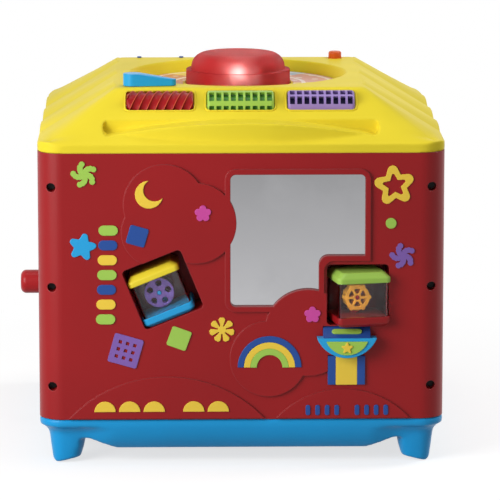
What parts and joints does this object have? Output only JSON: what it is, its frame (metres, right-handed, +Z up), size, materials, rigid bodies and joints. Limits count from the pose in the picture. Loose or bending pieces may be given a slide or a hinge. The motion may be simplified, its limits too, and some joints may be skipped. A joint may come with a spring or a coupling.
{
  "type": "activity cube",
  "caption": "Toddler activity cube: a box on feet with a mirror, pockets for spinner blocks, roof rollers, a turntable round a press-down light dome, a paddle, a button and a side knob.",
  "frame": {"origin": "On the floor, midway between the four feet.", "axes": "X to the right as seen from the front, Y from the front to the back, Z up."},
  "size_m": [0.4046, 0.4023, 0.367],
  "materials": {
    "red_plastic": "moulded, soft sheen",
    "yellow_plastic": "moulded, soft sheen",
    "blue_plastic": "moulded, soft sheen",
    "light_blue_plastic": "moulded, soft sheen",
    "dark_blue_plastic": "moulded, soft sheen",
    "green_plastic": "moulded, soft sheen",
    "dark_green_plastic": "moulded, soft sheen",
    "purple_plastic": "moulded, soft sheen",
    "navy_plastic": "moulded, soft sheen",
    "pink_plastic": "moulded, soft sheen",
    "orange_plastic": "moulded, soft sheen",
    "amber_plastic": "moulded, soft sheen",
    "clear_plastic": "clear moulded plastic",
    "lamp_red": "translucent, glossy",
    "mirror_film": "mirror film on plastic",
    "disc_print": "printed in pastel wedges",
    "white_plastic": "natural white",
    "lamp_lens": "clear lens",
    "steel": "zinc plated",
    "black_steel": "black oxide",
    "black_plastic": "matt",
    "circuit_board": "green resist",
    "cell_wrap": "plain film wrap",
    "paper_cone": "pressed paper"
  },
  "bodies": {
    "shell": {"base_tray": "blue_plastic", "bottom_cover": "blue_plastic", "battery_tray": "black_plastic", "batteries": "cell_wrap", "battery_door": "blue_plastic", "door_screw": "steel", "base_screws": "steel", "front_panel": "red_plastic", "back_panel": "red_plastic", "left_panel": "red_plastic", "right_panel": "red_plastic", "panel_screws": "black_steel", "roof": "yellow_plastic", "roof_screws": "steel", "mirror_glass": "mirror_film", "mirror_backing": "black_plastic", "mirror_screws": "steel", "left_pocket": "light_blue_plastic", "right_pocket": "light_blue_plastic", "block_shelf": "light_blue_plastic", "shapes_green": "green_plastic", "shapes_yellow": "yellow_plastic", "shapes_blue": "dark_blue_plastic", "shapes_light_blue": "light_blue_plastic", "shapes_purple": "purple_plastic", "shapes_pink": "pink_plastic", "roller_axles": "steel", "dome_spring": "steel", "lamp_cup": "white_plastic", "lamp_board": "circuit_board", "lamp_led": "lamp_lens", "button_plug": "black_plastic", "button_spring": "steel", "click_leaf": "steel", "speaker": "black_plastic", "speaker_cone": "paper_cone", "main_board": "circuit_board"},
    "dome": {"dome_cover": "lamp_red", "dome_carrier": "white_plastic"},
    "turntable": {"picture_disc": "disc_print"},
    "red_spinner": {"red_roller": "red_plastic"},
    "green_spinner": {"green_roller": "green_plastic", "green_core": "dark_green_plastic"},
    "purple_spinner": {"purple_roller": "purple_plastic", "purple_core": "navy_plastic"},
    "paddle_arm": {"paddle": "light_blue_plastic", "paddle_pin": "steel"},
    "push_button": {"orange_button": "orange_plastic"},
    "knob": {"side_knob": "red_plastic", "click_wheel": "white_plastic"},
    "block_a": {"block_a_base": "blue_plastic", "block_a_case": "clear_plastic", "block_a_cap": "yellow_plastic"},
    "block_a_wheel": {"block_a_spinner": "purple_plastic"},
    "block_b": {"block_b_base": "red_plastic", "block_b_case": "clear_plastic", "block_b_cap": "green_plastic"},
    "block_b_wheel": {"block_b_ring": "amber_plastic"},
    "power_switch": {"power_slider": "black_plastic"}
  },
  "joints": [
    {"name": "dome_press", "type": "slide", "parent": "shell", "child": "dome", "axis": [0, 0, -1], "range_m": [0, 0.005], "stiffness_N_per_m": 400, "springref_m": -0.004, "deforming": ["dome_spring"]},
    {"name": "disc_spin", "type": "hinge", "parent": "shell", "child": "turntable", "pos_m": [0, 0, 0.335], "axis": [0, 0, 1], "continuous": true},
    {"name": "red_spin", "type": "hinge", "parent": "shell", "child": "red_spinner", "pos_m": [-0.07567, -0.13052, 0.33168], "axis": [1, 0, 0], "continuous": true},
    {"name": "green_spin", "type": "hinge", "parent": "shell", "child": "green_spinner", "pos_m": [0, -0.13052, 0.33168], "axis": [1, 0, 0], "continuous": true},
    {"name": "purple_spin", "type": "hinge", "parent": "shell", "child": "purple_spinner", "pos_m": [0.07567, -0.13052, 0.33168], "axis": [1, 0, 0], "continuous": true},
    {"name": "paddle_swing", "type": "hinge", "parent": "shell", "child": "paddle_arm", "pos_m": [-0.1015, -0.103, 0.35], "axis": [0, 0, 1], "range_deg": [0, 60]},
    {"name": "button_press", "type": "slide", "parent": "shell", "child": "push_button", "axis": [0, 0, -1], "range_m": [0, 0.0035], "stiffness_N_per_m": 250, "springref_m": -0.002, "deforming": ["button_spring"]},
    {"name": "knob_turn", "type": "hinge", "parent": "shell", "child": "knob", "pos_m": [-0.19, 0, 0.141], "axis": [1, 0, 0], "continuous": true},
    {"name": "block_a_pull", "type": "slide", "parent": "shell", "child": "block_a", "axis": [0, -0.9945, 0.1045], "range_m": [0, 0.08]},
    {"name": "block_a_spin", "type": "hinge", "parent": "block_a", "child": "block_a_wheel", "pos_m": [-0.07698, -0.1625, 0.16082], "axis": [0, 1, 0], "continuous": true},
    {"name": "block_b_pull", "type": "slide", "parent": "shell", "child": "block_b", "axis": [0, -0.9945, 0.1045], "range_m": [0, 0.08]},
    {"name": "block_b_spin", "type": "hinge", "parent": "block_b", "child": "block_b_wheel", "pos_m": [0.10716, -0.18092, 0.1588], "axis": [-0.2079, 0.9781, 0], "continuous": true},
    {"name": "power_slide", "type": "slide", "parent": "shell", "child": "power_switch", "axis": [-1, 0, 0], "range_m": [0, 0.008]}
  ]
}
